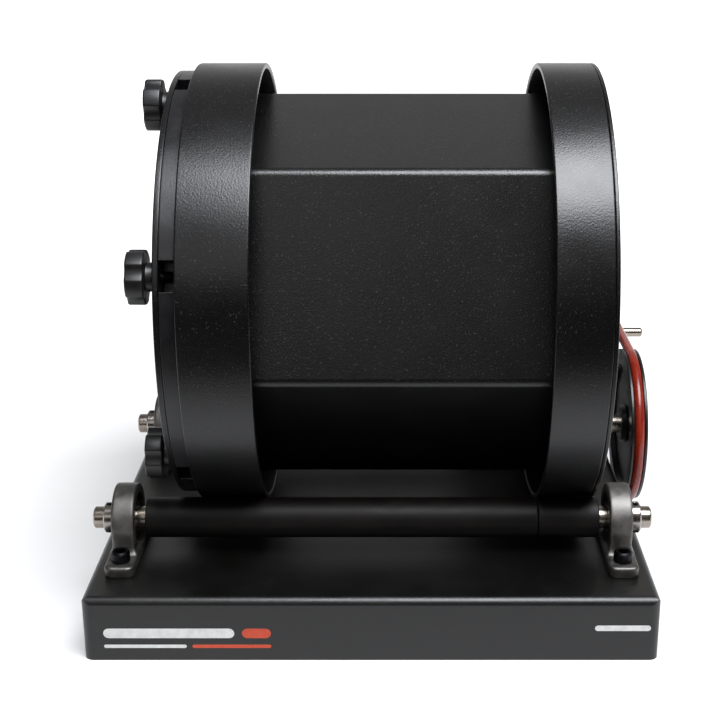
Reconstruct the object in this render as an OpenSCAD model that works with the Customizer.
// Rotary rock tumbler: a hexagonal barrel with round rims, turned by two rollers on a sheet steel base.
// +X is the drive side, +Y is the back, +Z is up. The origin is the middle of the base's underside.

/* [Base pan] */
// Width of the base pan, left to right
base_w = 300; // [290:1:304]
// Depth of the base pan, front to back
base_d = 328; // [320:1:340]
// Height of the base pan
base_h = 35.6; // [34:0.2:40]
// Thickness of the base sheet
base_gauge = 2; // [1.5:0.1:2.5]
// Outside radius of the folds along the top edges
fold_r = 4; // [3:0.5:5]
// Outside radius of the upright corners
corner_r = 5; // [4:0.5:8]
// Width of the lips folded in under the pan
lip_w = 14; // [10:1:16]

/* [Rollers] */
// Distance between the two roller shafts
roller_gap = 140; // [138:0.5:142]
// Place of the barrel axis, front to back, from the middle of the pan
barrel_y = -36; // [-38:1:-34]
// Diameter of the roller shafts
shaft_d = 12; // [12:0.1:12.2]
// Overall length of the front shaft
shaft_len = 304.8; // [303:0.2:310]
// Length by which the rear shaft runs on through its pulley
drive_stub = 18.2; // [17:0.2:20]
// Outside diameter of the rubber sleeves
sleeve_d = 22; // [21.5:0.1:22.4]
// Distance from the middle to each sleeve's outer end
sleeve_end = 123.2; // [122:0.2:124]
// Place of the seam between the long and the short sleeve
sleeve_seam = 90.1; // [80:0.1:95]

/* [Pillow blocks] */
// Distance from the middle of the base to each block
block_x = 134; // [133:0.5:135]
// Height of the bearing axis above the block's foot
block_h = 19; // [19:0.1:19.5]
// Length of the foot
block_len = 71; // [70:0.5:74]
// Width of the foot
block_w = 16; // [15:0.5:17]
// Thickness of the foot
foot_h = 6; // [5:0.5:7]
// Outside radius of the bearing ring
ring_r = 19; // [18.5:0.1:19]
// Width of the bearing ring
ring_w = 11.6; // [11:0.2:12]
// Distance between the two screws of a block
bolt_gap = 53; // [52:0.5:56]

/* [Barrel] */
// Outside diameter of the two rims
rim_d = 245; // [244:0.5:246]
// Wall of the rims
rim_wall = 3; // [2:0.5:3]
// Left end of the barrel, at the lid flange
barrel_left = -94.6; // [-95:0.1:-93]
// Right end of the barrel, at the end plate
barrel_right = 121.4; // [120:0.2:122]
// Width of the left rim
left_rim_w = 36.5; // [34:0.5:37]
// Width of the right rim
right_rim_w = 29; // [27:0.5:31]
// Size of the hexagon across its flats
hex_flats = 187; // [180:1:188]
// Outside radius of the hexagon's bends
bend_r = 5.5; // [4:0.5:7]
// Sheet thickness of the hexagonal shell
shell_wall = 2; // [1.5:0.1:2.5]
// Angle at which one flat looks up at the front
barrel_turn = 17.2; // [0:0.1:30]

/* [Liner and lid] */
// Wall of the rubber liner
liner_wall = 6; // [5:0.5:8]
// Thickness of the liner's lip under the lid
lip_t = 7.6; // [6:0.1:7.8]
// Outside diameter of the lid and the lip
lid_d = 237; // [234:0.5:238]
// Thickness of the lid plate
lid_t = 3.1; // [2.5:0.1:3.2]
// Width of each notch in the lip
notch_w = 15.5; // [14:0.5:20]

/* [Knobs] */
// Diameter of the circle that the knobs stand on
knob_circle = 213; // [212:0.5:214]
// Overall diameter of a star knob
knob_d = 27.6; // [26:0.2:28]
// Length of the fluted grip
grip_len = 9.2; // [8:0.2:10]
// Diameter of the threaded stud
stud_d = 6; // [5:0.5:6]

/* [Drive] */
// Diameter of the driven pulley
driven_d = 96; // [94:0.5:98]
// Diameter of the motor pulley
motor_pulley_d = 28.4; // [26:0.2:30]
// Width of both pulleys over their rims
pulley_w = 10; // [9:0.5:11]
// Diameter of the round belt
belt_d = 6.3; // [6:0.1:6.5]
// Depth of the belt's centre line inside a rim
belt_sink = 1.2; // [1:0.1:2]
// Place of the belt, left to right
belt_x = 162; // [161:0.5:163]
// Distance of the motor behind the rear shaft
motor_back = 86.5; // [84:0.5:88]
// Diameter of the motor shaft
motor_shaft_d = 6.35; // [6:0.05:6.5]
// Right end of the motor shaft
motor_shaft_end = 184; // [180:1:186]

/* [Motor] */
// Diameter of the motor housing
motor_d = 84; // [80:1:86]
// Left face of the motor
motor_left = 56; // [50:1:60]
// Right face of the motor
motor_right = 145; // [140:1:146]
// Length of each end bell
bell_len = 14; // [12:1:16]

/* [Hidden] */
$fn = 96;

// Heights and places that follow from the driving sizes
shaft_z = base_h + block_h;
front_y = barrel_y - roller_gap / 2;
rear_y = barrel_y + roller_gap / 2;
rim_gap = 0.25;
axis_reach = (rim_d + sleeve_d) / 2 + rim_gap;
barrel_z = shaft_z + sqrt(axis_reach * axis_reach - roller_gap * roller_gap / 4);
fit_gap = 0.03;
eps = 1;

// Barrel
flat_angle = 180 - barrel_turn;
plate_t = 2;
flange_t = 2.5;
hex_in = hex_flats / 2;
liner_out = hex_in - shell_wall - 0.3;
liner_bend = bend_r - shell_wall - 0.3;
cavity_bend = 8;
lip_right = barrel_left - 0.3;
lip_left = lip_right - lip_t;
lid_right = lip_left - 0.2;
lid_left = lid_right - lid_t;
liner_right = barrel_right - plate_t - 0.5;

// Knobs
neck_len = 4.25;
neck_d = 14.5;
flute_r = 7.2;
flute_out = 18.7;
knob_turns = [-7.8, 18.2, 30, 50, 5, 13.6];
grip_left = lid_left - neck_len - grip_len;
stud_end = -85.1;
nut_across = 10;
nut_t = 5.5;

// Bearings
housing_r = 14;
outer_w = 8;
race_out = 11.1;
race_in = 8.5;
ball_r = 1.9;
ball_circle = 9.8;
ball_count = 9;
inner_in = 128.8;
inner_out = 146.5;
collar_turn = 8;

// Drive: the upper run of the belt is level, which sets the height of the motor
driven_belt_r = driven_d / 2 - belt_sink;
motor_belt_r = motor_pulley_d / 2 - belt_sink;
motor_up = driven_belt_r - motor_belt_r;
motor_y = rear_y + motor_back;
motor_z = shaft_z + motor_up;
belt_slope = 2 * atan2(motor_up, motor_back);
groove_r = belt_d / 2 + 0.15;

// Motor
housing_t = 2;
stator_left = 85;
stator_right = 125;
stator_bore = 21;
coil_r = 3.8;
fan_r = 29;
bracket_t = 3;
bolt_ring = 33;
foot_bolts = [[100, -28], [100, 28], [132, -28], [132, 28]];
gland_x = 104;
gland_z = 17;
gland_r = 3.6;
gland_wide_r = 4.4;
spigot_r = 5.9;

// Turns a flat outline so that it runs along X: outline x becomes Y, outline y becomes Z
module along_x(x0, length) {
    translate([x0, 0, 0]) rotate([90, 0, 90]) linear_extrude(length) children();
}

// Turns a profile of radius and length about the X axis
module spun_x(x0) {
    translate([x0, 0, 0]) rotate([0, 90, 0]) rotate_extrude() children();
}

module rod_x(x0, x1, r) {
    translate([x0, 0, 0]) rotate([0, 90, 0]) cylinder(h = x1 - x0, r = r);
}

// A rod with a chamfer at both ends
module pin_x(x0, x1, r, chamfer) {
    spun_x(x0) polygon([
        [0, 0], [r - chamfer, 0], [r, chamfer], [r, x1 - x0 - chamfer], [r - chamfer, x1 - x0], [0, x1 - x0],
    ]);
}

module tube_x(x0, x1, r_out, r_in) {
    spun_x(x0) translate([r_in, 0]) square([r_out - r_in, x1 - x0]);
}

module at_barrel() {
    translate([0, barrel_y, barrel_z]) children();
}

module at_motor() {
    translate([0, motor_y, motor_z]) children();
}

module at_shaft(y) {
    translate([0, y, shaft_z]) children();
}

// Rectangle with round corners, centred
module round_rect(w, d, r) {
    square([w - 2 * r, d], center = true);
    square([w, d - 2 * r], center = true);
    for (sx = [-1, 1], sy = [-1, 1]) translate([sx * (w / 2 - r), sy * (d / 2 - r)]) circle(r);
}

// Hexagon with bent corners: half is the distance from the middle to a flat
module bent_hex(half, r) {
    corner = (half - r) / cos(30);
    polygon([
        for (k = [0:5], s = [-1, 1])
            [
                corner * cos(60 * k + 30) + r * cos(60 * k + 30 + 30 * s),
                corner * sin(60 * k + 30) + r * sin(60 * k + 30 + 30 * s),
            ],
    ]);
    for (k = [0:5]) rotate(60 * k + 30) translate([corner, 0]) circle(r);
}

module hex_tube(x0, x1, half, wall, r) {
    along_x(x0, x1 - x0) rotate(flat_angle) difference() {
        bent_hex(half, r);
        bent_hex(half - wall, r - wall);
    }
}

// Calls its children once at each of the six knob places, turned so that +Z points outwards
module at_knobs(which = [0:5]) {
    at_barrel() for (k = which) rotate([flat_angle + 60 * k, 0, 0]) translate([0, knob_circle / 2, 0])
        children();
}

// Socket head screw along -Z: the underside of the head is at the origin
module socket_screw(d, length) {
    head_r = 0.83 * d;
    difference() {
        union() {
            rotate_extrude() polygon([
                [0, 0], [head_r, 0], [head_r, d - 0.6], [head_r - 0.6, d], [0, d],
            ]);
            translate([0, 0, -length]) cylinder(h = length + 0.1, d = d);
        }
        translate([0, 0, d * 0.45]) cylinder(h = d, d = d, $fn = 6);
    }
}

module hex_nut(d, across, t) {
    difference() {
        cylinder(h = t, d = across / cos(30), $fn = 6);
        translate([0, 0, -eps]) cylinder(h = t + 2 * eps, d = d + 0.1);
    }
}

// Block screw places, as X and Y
function block_bolts() = [
    for (sx = [-1, 1], y = [front_y, rear_y], sy = [-1, 1]) [sx * block_x, y + sy * bolt_gap / 2]
];

// ---- base ----

// A box whose top edges and upright corners are all rounded
module tray_shape(w, d, h, r_top, r_corner) {
    intersection() {
        linear_extrude(h) round_rect(w, d, r_corner);
        translate([-w / 2 - eps, 0, 0]) along_x(0, w + 2 * eps) top_round(d, h, r_top);
        translate([0, d / 2 + eps, 0]) rotate([90, 0, 0]) linear_extrude(d + 2 * eps)
            top_round(w, h, r_top);
    }
}

module top_round(w, h, r) {
    translate([-w / 2, 0]) square([w, h - r]);
    translate([r - w / 2, 0]) square([w - 2 * r, h]);
    for (s = [-1, 1]) translate([s * (w / 2 - r), h - r]) circle(r);
}

module base_pan() {
    wall = base_gauge;
    in_w = base_w - 2 * wall;
    in_d = base_d - 2 * wall;
    in_h = base_h - 2 * wall;
    cut = wall + 2 * eps;
    color("#232324") difference() {
        tray_shape(base_w, base_d, base_h, fold_r, corner_r);
        translate([0, 0, wall]) tray_shape(in_w, in_d, in_h, fold_r - wall, corner_r - wall);
        translate([0, 0, -eps]) linear_extrude(cut)
            round_rect(base_w - 2 * lip_w, base_d - 2 * lip_w, corner_r);
        for (p = block_bolts()) translate([p[0], p[1], base_h - wall - eps]) cylinder(h = cut, d = 6.6);
        for (p = foot_bolts) translate([p[0], motor_y + p[1], base_h - wall - eps])
            cylinder(h = cut, d = 5.5);
        translate([gland_x, base_d / 2 - wall - eps, gland_z]) rotate([-90, 0, 0])
            cylinder(h = cut, r = spigot_r + 0.1);
    }
}

// Its bore is narrow outside the wall, where it holds the cord, and wider from there inwards
module cord_gland() {
    half = 8;
    step = 0.4;
    color("#1a1a1b") translate([gland_x, base_d / 2, gland_z]) rotate([-90, 0, 0])
        rotate_extrude() polygon([
            [gland_wide_r, -half], [spigot_r, -half], [spigot_r, 0.1], [gland_r + 5, 0.1],
            [gland_r + 5, 2.1], [gland_r + 4.4, 2.7], [gland_r + 2.4, 2.7], [gland_r + 1.6, half],
            [gland_r, half], [gland_r, step], [gland_wide_r, step],
        ]);
}

// ---- pillow blocks and their bearings ----

// Ring of a block with eased edges
module block_ring() {
    half = ring_w / 2;
    ease = 1.2;
    spun_x(0) polygon([
        [0, -half], [ring_r - ease, -half], [ring_r, ease - half], [ring_r, half - ease],
        [ring_r - ease, half], [0, half],
    ]);
}

// Stem of a block: it widens from the ring down to the foot
module block_stem() {
    flare = (block_w - ring_w) / 2;
    half = ring_w / 2;
    intersection() {
        translate([-block_w / 2, 0, 0]) along_x(0, block_w) polygon([
            [-21, foot_h - 0.5], [21, foot_h - 0.5], [20, foot_h + 1], [19, foot_h + 4],
            [ring_r - 0.2, block_h], [0.2 - ring_r, block_h], [-19, foot_h + 4], [-20, foot_h + 1],
        ]);
        translate([0, block_len / 2, 0]) rotate([90, 0, 0]) linear_extrude(block_len) difference() {
            translate([-block_w / 2, 0]) square([block_w, block_h]);
            for (s = [-1, 1]) translate([s * (half + 4.4 * flare), foot_h + 4.4 * flare]) circle(4.4 * flare);
            for (s = [-1, 1]) translate([s * (half + 2.2 * flare), foot_h + 4.4 * flare + block_h / 2])
                square([4.4 * flare, block_h], center = true);
        }
    }
}

module pillow_block(x, y) {
    color("#8f8f8d") translate([x, y, base_h]) difference() {
        union() {
            linear_extrude(foot_h) round_rect(block_w, block_len, 4);
            block_stem();
            translate([0, 0, block_h]) block_ring();
        }
        translate([0, 0, block_h]) rod_x(-block_w, block_w, housing_r);
        for (s = [-1, 1]) translate([0, s * bolt_gap / 2, -eps]) cylinder(h = foot_h + 2 * eps, d = 6.6);
    }
}

module pillow_block_front_left() pillow_block(-block_x, front_y);
module pillow_block_front_right() pillow_block(block_x, front_y);
module pillow_block_rear_left() pillow_block(-block_x, rear_y);
module pillow_block_rear_right() pillow_block(block_x, rear_y);

// Calls its children at each of the four bearings
module at_bearings() {
    for (y = [front_y, rear_y], sx = [-1, 1]) at_shaft(y) translate([sx * block_x, 0, 0]) children();
}

module race_groove() {
    translate([ball_circle, 0]) circle(ball_r + 0.05);
}

module bearing_outer_rings() {
    color("#5c5c5e") at_bearings() spun_x(0) difference() {
        translate([race_out, -outer_w / 2]) square([housing_r - 0.02 - race_out, outer_w]);
        race_groove();
    }
}

module bearing_balls() {
    color("#c9c9cc") at_bearings() for (k = [0:ball_count - 1])
        rotate([k * 360 / ball_count, 0, 0]) translate([0, ball_circle, 0]) sphere(ball_r);
}

module bearing_seals() {
    color("#1c1c1d") at_bearings() for (s = [-1, 1])
        translate([s * (outer_w / 2 - 0.6), 0, 0]) tube_x(-0.5, 0.5, race_out - 0.02, race_in + 0.15);
}

module bearing_inners(y) {
    collar_x = inner_out - 3;
    color("#a3a3a1") at_shaft(y) for (side = [0, 1]) mirror([side, 0, 0]) difference() {
        spun_x(0) difference() {
            polygon([
                [shaft_d / 2 + fit_gap, inner_in], [race_in, inner_in], [race_in, inner_out - 0.8],
                [race_in - 0.8, inner_out], [shaft_d / 2 + fit_gap, inner_out],
            ]);
            translate([0, block_x]) race_groove();
        }
        translate([collar_x, 0, 0]) rotate([collar_turn, 0, 0]) cylinder(h = race_in + eps, d = 3.3);
    }
}

module collar_screws(y) {
    color("#2a2a2c") at_shaft(y) for (s = [-1, 1]) translate([s * (inner_out - 3), 0, 0])
        rotate([collar_turn, 0, 0]) translate([0, 0, shaft_d / 2 + 0.03]) difference() {
            cylinder(h = race_in - shaft_d / 2 - 0.3, d = 3.2);
            translate([0, 0, 0.9]) cylinder(h = 3, d = 1.7, $fn = 6);
        }
}

module front_bearing_inners() bearing_inners(front_y);
module rear_bearing_inners() bearing_inners(rear_y);
module front_collar_screws() collar_screws(front_y);
module rear_collar_screws() collar_screws(rear_y);

module block_screws() {
    color("#1e1e20") for (p = block_bolts()) translate([p[0], p[1], base_h + foot_h]) socket_screw(6, 16);
}

module block_nuts() {
    color("#a8a8a6") for (p = block_bolts()) translate([p[0], p[1], base_h - base_gauge - 5.4])
        hex_nut(6, nut_across, 5.4);
}

// ---- rollers ----

module sleeve(y, x0, x1) {
    ease = 0.5;
    bore = shaft_d / 2 + 0.01;
    r = sleeve_d / 2;
    color("#141415") at_shaft(y) spun_x(x0) polygon([
        [bore, 0], [r - ease, 0], [r, ease], [r, x1 - x0 - ease], [r - ease, x1 - x0], [bore, x1 - x0],
    ]);
}

module front_shaft() {
    color("#b9b6ae") at_shaft(front_y) pin_x(-shaft_len / 2, shaft_len / 2, shaft_d / 2, 0.8);
}

module rear_shaft() {
    color("#b9b6ae") at_shaft(rear_y) pin_x(-shaft_len / 2, shaft_len / 2 + drive_stub, shaft_d / 2, 0.8);
}

module front_long_sleeve() sleeve(front_y, -sleeve_end, sleeve_seam - 0.1);
module front_short_sleeve() sleeve(front_y, sleeve_seam + 0.1, sleeve_end);
module rear_long_sleeve() sleeve(rear_y, -sleeve_end, sleeve_seam - 0.1);
module rear_short_sleeve() sleeve(rear_y, sleeve_seam + 0.1, sleeve_end);

// ---- pulleys and belt ----

// Groove for the round belt, as a cutter for a profile whose middle is at length 0
module belt_groove(belt_r) {
    translate([belt_r, 0]) circle(groove_r);
    translate([belt_r, -groove_r]) square([2 * groove_r, 2 * groove_r]);
}

module driven_pulley() {
    half = pulley_w / 2;
    rim_in = driven_belt_r - groove_r - 4.5;
    hub_r = 11;
    hub_end = half + 4;
    color("#17171a") at_shaft(rear_y) difference() {
        spun_x(belt_x) difference() {
            polygon([
                [shaft_d / 2 + 0.01, -half], [hub_r, -half], [hub_r + 1.5, -2], [rim_in - 1.5, -2],
                [rim_in, -half], [driven_d / 2 - 0.4, -half], [driven_d / 2, 0.4 - half],
                [driven_d / 2, half - 0.4], [driven_d / 2 - 0.4, half], [rim_in, half],
                [rim_in - 1.5, 2], [hub_r + 1.5, 2], [hub_r, half], [hub_r, hub_end - 0.6],
                [hub_r - 0.6, hub_end], [shaft_d / 2 + 0.01, hub_end],
            ]);
            belt_groove(driven_belt_r);
        }
        translate([belt_x + half + 0.8, 0, 0]) cylinder(h = hub_r + eps, d = 4.2);
    }
}

module driven_pulley_screw() {
    color("#2a2a2c") at_shaft(rear_y) translate([belt_x + pulley_w / 2 + 0.8, 0, shaft_d / 2 + 0.03])
        difference() {
            cylinder(h = 4.4, d = 4.1);
            translate([0, 0, 2.4]) cylinder(h = 3, d = 2.2, $fn = 6);
        }
}

module motor_pulley() {
    half = pulley_w / 2 - 1;
    hub_r = 9;
    hub_end = -half - 6;
    bore = motor_shaft_d / 2 + 0.01;
    r = motor_pulley_d / 2;
    color("#8a8a8c") at_motor() difference() {
        spun_x(belt_x) difference() {
            polygon([
                [bore, hub_end], [hub_r - 0.5, hub_end], [hub_r, hub_end + 0.5], [hub_r, -half],
                [r - 0.4, -half], [r, 0.4 - half], [r, half - 0.4], [r - 0.4, half], [bore, half],
            ]);
            belt_groove(motor_belt_r);
        }
        translate([belt_x - half - 3, 0, 0]) cylinder(h = hub_r + eps, d = 4.2);
    }
}

module motor_pulley_screw() {
    color("#2a2a2c") at_motor() translate([belt_x - pulley_w / 2 - 2, 0, motor_shaft_d / 2 + 0.03])
        difference() {
            cylinder(h = 5, d = 4.1);
            translate([0, 0, 3]) cylinder(h = 3, d = 2.2, $fn = 6);
        }
}

module drive_belt() {
    color("#b5311c") translate([belt_x, rear_y, shaft_z]) rotate([90, 0, 90]) {
        rotate(90) rotate_extrude(angle = 180 + belt_slope) translate([driven_belt_r, 0]) circle(d = belt_d);
        translate([motor_back, motor_up, 0]) rotate(belt_slope - 90)
            rotate_extrude(angle = 180 - belt_slope) translate([motor_belt_r, 0]) circle(d = belt_d);
        translate([0, driven_belt_r, 0]) rotate([0, 90, 0]) cylinder(h = motor_back, d = belt_d);
        rotate(belt_slope) translate([0, -driven_belt_r, 0]) rotate([0, 90, 0])
            cylinder(h = motor_back, d = belt_d);
    }
}

// ---- motor ----

module motor_housing() {
    r = motor_d / 2;
    left = motor_left + bell_len;
    right = motor_right - bell_len;
    vent_w = 4.4;
    color("#2b2b2d") at_motor() difference() {
        tube_x(left, right, r, r - housing_t);
        for (k = [0:17]) rotate([20 * k, 0, 0]) translate([left + 5, -vent_w / 2, r - housing_t - eps])
            cube([(right - left) / 5, vent_w, housing_t + 2 * eps]);
    }
}

// End bell as a profile from its open edge (length 0) to its face
module bell_profile(bore) {
    r = motor_d / 2;
    wall = 3;
    difference() {
        union() {
            translate([bore, 0]) square([r - 6 - bore, bell_len]);
            translate([bore, 0]) square([r - bore, bell_len - 6]);
            translate([r - 6, bell_len - 6]) circle(6);
        }
        translate([11, -eps]) square([r - wall - 11, bell_len - wall + eps]);
    }
}

module motor_bell(vented) {
    difference() {
        rotate_extrude() bell_profile(4.9);
        if (vented) for (k = [0:7]) rotate(45 * k + 22.5) translate([18, -3, bell_len - 3 - eps])
            cube([14, 6, 3 + 2 * eps]);
        for (k = [0:3]) rotate(90 * k + 45) translate([bolt_ring, 0, -eps])
            cylinder(h = bell_len + 2 * eps, d = 4.4);
    }
}

module motor_front_bell() {
    color("#9a9a9a") at_motor() translate([motor_right - bell_len, 0, 0]) rotate([0, 90, 0])
        motor_bell(false);
}

module motor_rear_bell() {
    color("#9a9a9a") at_motor() translate([motor_left + bell_len, 0, 0]) rotate([0, -90, 0])
        motor_bell(true);
}

module motor_stator() {
    color("#6d6d70") at_motor() difference() {
        tube_x(stator_left, stator_right, motor_d / 2 - housing_t - 0.02, stator_bore);
        for (k = [0:11]) rotate([30 * k + 15, 0, 0]) translate([stator_left - eps, -2.5, stator_bore - eps])
            cube([stator_right - stator_left + 2 * eps, 5, 8 + eps]);
        for (k = [0:3]) rotate([90 * k + 45, 0, 0]) translate([0, bolt_ring, 0])
            rod_x(stator_left - eps, stator_right + eps, 2.3);
    }
}

module motor_windings() {
    coil_gap = coil_r + 0.3;
    color("#a8602c") at_motor() for (x = [stator_left - coil_gap, stator_right + coil_gap])
        spun_x(x) translate([stator_bore + 4.5, 0]) circle(coil_r);
}

module motor_bushings() {
    color("#b08a4a") at_motor() {
        tube_x(motor_right - bell_len, motor_right, 4.88, motor_shaft_d / 2 + fit_gap);
        tube_x(motor_left, motor_left + bell_len, 4.88, motor_shaft_d / 2 + fit_gap);
    }
}

module motor_bolts() {
    color("#b4b4b2") at_motor() for (k = [0:3]) rotate([90 * k + 45, 0, 0]) translate([0, bolt_ring, 0]) {
        rod_x(motor_left - 2.6, motor_right + bracket_t + 0.1, 2);
        rod_x(motor_left - 2.8, motor_left - 0.02, 3.6);
        translate([motor_right + bracket_t + 0.02, 0, 0]) rotate([0, 90, 0])
            cylinder(h = 3.2, d = 8.08, $fn = 6);
    }
}

// Angle bracket: an upright plate on the motor's face and a foot under the motor
module motor_bracket() {
    half = 42;
    foot_left = 88;
    face = motor_right;
    drop = motor_z - base_h;
    color("#232324") at_motor() difference() {
        union() {
            along_x(face, bracket_t) translate([0, (40 - drop) / 2]) round_rect(2 * half, 40 + drop, 5);
            along_x(face, bracket_t) translate([-half, -drop]) square([2 * half, 12]);
            translate([foot_left, -half, -drop]) cube([face + bracket_t - foot_left, 2 * half, bracket_t]);
            for (y = [bracket_t - half, half]) translate([0, y, -drop]) rotate([90, 0, 0])
                linear_extrude(bracket_t) polygon([
                    [face - 20, bracket_t - 0.5], [face + 0.5, bracket_t - 0.5], [face + 0.5, 30],
                ]);
        }
        rod_x(face - eps, face + bracket_t + eps, 13);
        for (k = [0:3]) rotate([90 * k + 45, 0, 0]) translate([0, bolt_ring, 0])
            rod_x(face - eps, face + bracket_t + eps, 2.3);
        for (p = foot_bolts) translate([p[0], p[1], -drop - eps]) linear_extrude(bracket_t + 2 * eps)
            round_rect(5.5, 13, 2.74);
    }
}

module bracket_screws() {
    color("#1e1e20") for (p = foot_bolts) translate([p[0], motor_y + p[1], base_h + bracket_t + 1]) {
        difference() {
            translate([0, 0, -1]) cylinder(h = 1, d = 10);
            translate([0, 0, -1 - eps]) cylinder(h = 1 + 2 * eps, d = 5);
        }
        socket_screw(5, 13);
        translate([0, 0, -bracket_t - base_gauge - 1 - 4.2]) difference() {
            cylinder(h = 4.2, d = 9.24, $fn = 6);
            translate([0, 0, -eps]) cylinder(h = 4.2 + 2 * eps, d = 5);
        }
    }
}

module motor_shaft() {
    r = motor_shaft_d / 2;
    x0 = motor_left - 5;
    length = motor_shaft_end - x0;
    color("#c4c4c2") at_motor() spun_x(x0) difference() {
        union() {
            square([r - 1.2, length]);
            square([r, length - 1.2]);
            translate([r - 1.2, length - 1.2]) circle(1.2);
        }
    }
}

module motor_rotor() {
    color("#77777a") at_motor()
        tube_x(stator_left + 2, stator_right - 2, stator_bore - 0.6, motor_shaft_d / 2 + 0.01);
}

module motor_fan() {
    hub_x = motor_left + bell_len + 1.5;
    color("#202022") at_motor() difference() {
        union() {
            rod_x(hub_x, hub_x + 5.5, 8);
            for (k = [0:8]) rotate([40 * k, 0, 0]) translate([hub_x + 1, -0.8, 6])
                cube([3.6, 1.6, fan_r - 6.5]);
            tube_x(hub_x, hub_x + 1.5, fan_r, 7);
        }
        rod_x(hub_x - eps, hub_x + 5.5 + eps, motor_shaft_d / 2 + 0.01);
    }
}

// ---- barrel ----

module barrel_shell() {
    color("#26262a") at_barrel() hex_tube(barrel_left, barrel_right - plate_t, hex_in, shell_wall, bend_r);
}

module end_plate() {
    color("#26262a") at_barrel() pin_x(barrel_right - plate_t, barrel_right, rim_d / 2, 0.4);
}

module rim(x0, x1) {
    r = rim_d / 2;
    ease = 0.6;
    color("#2a2a2e") at_barrel() spun_x(x0) polygon([
        [r - rim_wall, 0], [r - ease, 0], [r, ease], [r, x1 - x0 - ease], [r - ease, x1 - x0],
        [r - rim_wall, x1 - x0],
    ]);
}

module left_rim() rim(barrel_left, barrel_left + left_rim_w);
module right_rim() rim(barrel_right - plate_t - right_rim_w, barrel_right - plate_t);

module lid_flange() {
    color("#232326") {
        at_barrel() along_x(barrel_left, flange_t) difference() {
            circle(rim_d / 2 - rim_wall - 0.02);
            rotate(flat_angle) bent_hex(hex_in + 0.02, bend_r);
            for (k = [0:5]) rotate(flat_angle + 60 * k) translate([knob_circle / 2, 0])
                circle(d = stud_d + 0.6);
        }
    }
}

module weld_nuts() {
    color("#9b9b99") at_knobs() translate([barrel_left + flange_t, 0, 0]) rotate([0, 90, 0])
        hex_nut(stud_d + 0.1, nut_across, nut_t);
}

module rubber_liner() {
    floor_x = liner_right - liner_wall;
    color("#111112") at_barrel() difference() {
        union() {
            along_x(lip_right - 0.5, liner_right - lip_right + 0.5) rotate(flat_angle)
                bent_hex(liner_out, liner_bend);
            along_x(lip_left, lip_t) circle(d = lid_d);
        }
        along_x(lip_left - eps, floor_x - lip_left + eps) rotate(flat_angle)
            bent_hex(liner_out - liner_wall, cavity_bend);
        for (k = [0:5]) rotate([flat_angle + 60 * k, 0, 0])
            translate([lip_left - eps, knob_circle / 2 - 5, -notch_w / 2])
                cube([lip_t + 2 * eps, 20, notch_w]);
    }
}

// ---- lid and knobs ----

module lid_plate() {
    color("#242427") at_barrel() difference() {
        pin_x(lid_left, lid_right, lid_d / 2, 0.5);
        for (k = [0:5]) rotate([flat_angle + 60 * k, 0, 0]) translate([0, knob_circle / 2, 0])
            rod_x(lid_left - eps, lid_right + eps, stud_d / 2 + 0.3);
    }
}

module lid_gasket() {
    color("#131314") at_barrel() pin_x(lid_right, lid_right + 5, liner_out - liner_wall - 3, 1.2);
}

// Star knob with five flutes: the grip, and the neck that bears on the lid
module star_knob(k) {
    color("#161617") at_knobs([k]) difference() {
        union() {
            along_x(grip_left, grip_len) difference() {
                circle(d = knob_d);
                for (a = [0:72:288]) rotate(knob_turns[k] + a) translate([flute_out, 0]) circle(flute_r);
            }
            rod_x(lid_left - neck_len - 0.5, lid_left - 0.1, neck_d / 2);
        }
        rod_x(grip_left + 3, lid_left + eps, stud_d / 2);
    }
}

module stud(k) {
    color("#b9b9b7") at_knobs([k])
        pin_x(grip_left + 3, stud_end, stud_d / 2, 0.6);
}

module knob_1() star_knob(0);
module knob_2() star_knob(1);
module knob_3() star_knob(2);
module knob_4() star_knob(3);
module knob_5() star_knob(4);
module knob_6() star_knob(5);
module knob_stud_1() stud(0);
module knob_stud_2() stud(1);
module knob_stud_3() stud(2);
module knob_stud_4() stud(3);
module knob_stud_5() stud(4);
module knob_stud_6() stud(5);

base_pan();
pillow_block_front_left();
pillow_block_front_right();
pillow_block_rear_left();
pillow_block_rear_right();
bearing_outer_rings();
bearing_balls();
bearing_seals();
block_screws();
block_nuts();
motor_housing();
motor_front_bell();
motor_rear_bell();
motor_stator();
motor_windings();
motor_bushings();
motor_bolts();
motor_bracket();
bracket_screws();
cord_gland();
drive_belt();
motor_shaft();
motor_rotor();
motor_fan();
motor_pulley();
motor_pulley_screw();
front_shaft();
front_long_sleeve();
front_short_sleeve();
front_bearing_inners();
front_collar_screws();
rear_shaft();
rear_long_sleeve();
rear_short_sleeve();
rear_bearing_inners();
rear_collar_screws();
driven_pulley();
driven_pulley_screw();
barrel_shell();
end_plate();
left_rim();
right_rim();
lid_flange();
weld_nuts();
rubber_liner();
lid_plate();
lid_gasket();
knob_1();
knob_2();
knob_3();
knob_4();
knob_5();
knob_6();
knob_stud_1();
knob_stud_2();
knob_stud_3();
knob_stud_4();
knob_stud_5();
knob_stud_6();
